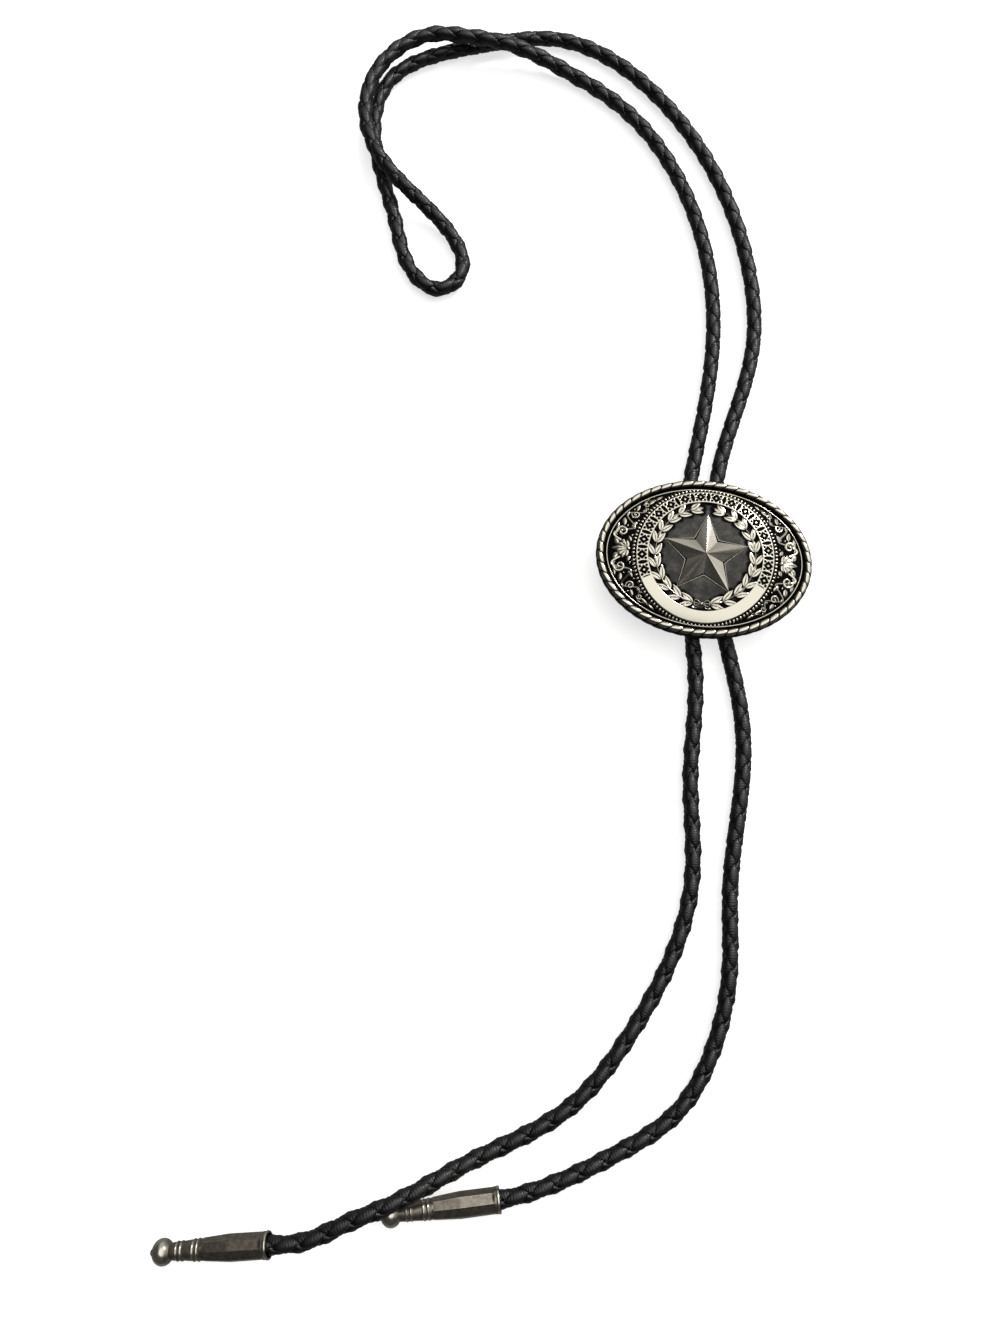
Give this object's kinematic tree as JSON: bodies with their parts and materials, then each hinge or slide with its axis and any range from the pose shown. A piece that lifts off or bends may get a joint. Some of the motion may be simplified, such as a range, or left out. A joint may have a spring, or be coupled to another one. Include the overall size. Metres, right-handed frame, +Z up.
{
  "type": "bolo tie",
  "caption": "Bolo tie: an oval cast metal slide with a rope edge, laurel wreath and star on a braided black leather cord with turned metal tips.",
  "frame": {"origin": "on the surface that the tie lies on, under the middle of the oval medallion, at the middle of the clip's flat base", "axes": "+X along the medallion's long axis, towards the star's right, +Y towards the cord's neck loop, +Z up from the surface out of the medallion's face"},
  "size_m": [0.1297, 0.3117, 0.0115],
  "materials": {
    "antique_silver": "cast, antiqued: high spots polished, recesses blackened",
    "clip_steel": "plain pressed steel",
    "black_leather": "four-strand round braid, satin",
    "dark_nickel": "antique nickel plating, worn bright on ridges"
  },
  "bodies": {
    "root": {"medallion": "antique_silver", "cord_clip": "clip_steel", "cord": "black_leather", "tip_left": "dark_nickel", "tip_right": "dark_nickel"}
  },
  "joints": []
}
